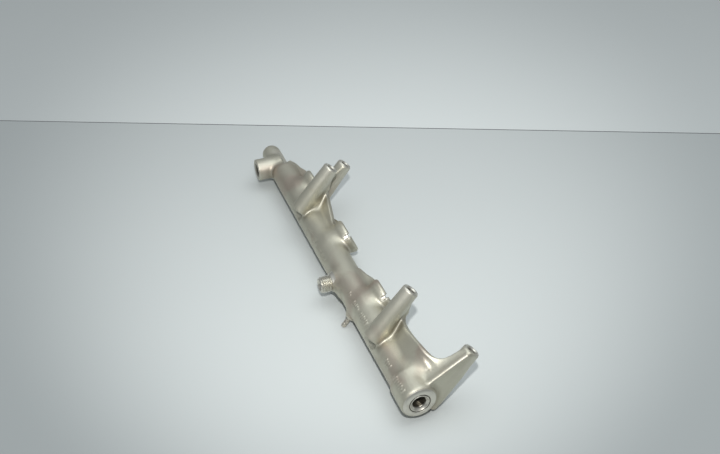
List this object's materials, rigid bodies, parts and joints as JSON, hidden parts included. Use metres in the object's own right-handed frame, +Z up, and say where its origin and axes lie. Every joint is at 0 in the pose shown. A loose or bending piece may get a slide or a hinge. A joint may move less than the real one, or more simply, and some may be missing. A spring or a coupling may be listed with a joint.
{
  "type": "fuel rail",
  "caption": "Cast stainless high-pressure fuel rail: tube with injector cups, bolt sleeves, a threaded inlet union, a sensor stub and an end port.",
  "frame": {"origin": "middle of the bounding box, on the table that the rail lies on", "axes": "+X along the tube towards the near port, +Z up from the table. The rail lies on its pin and on the seats of its two low sleeves, so the bolt sleeves point to +Y and up."},
  "size_m": [0.3659, 0.0732, 0.0707],
  "materials": {
    "cast_stainless": "satin blasted casting",
    "pin_steel": "satin"
  },
  "bodies": {
    "root": {"rail_body": "cast_stainless", "locating_pin": "pin_steel"}
  },
  "joints": []
}
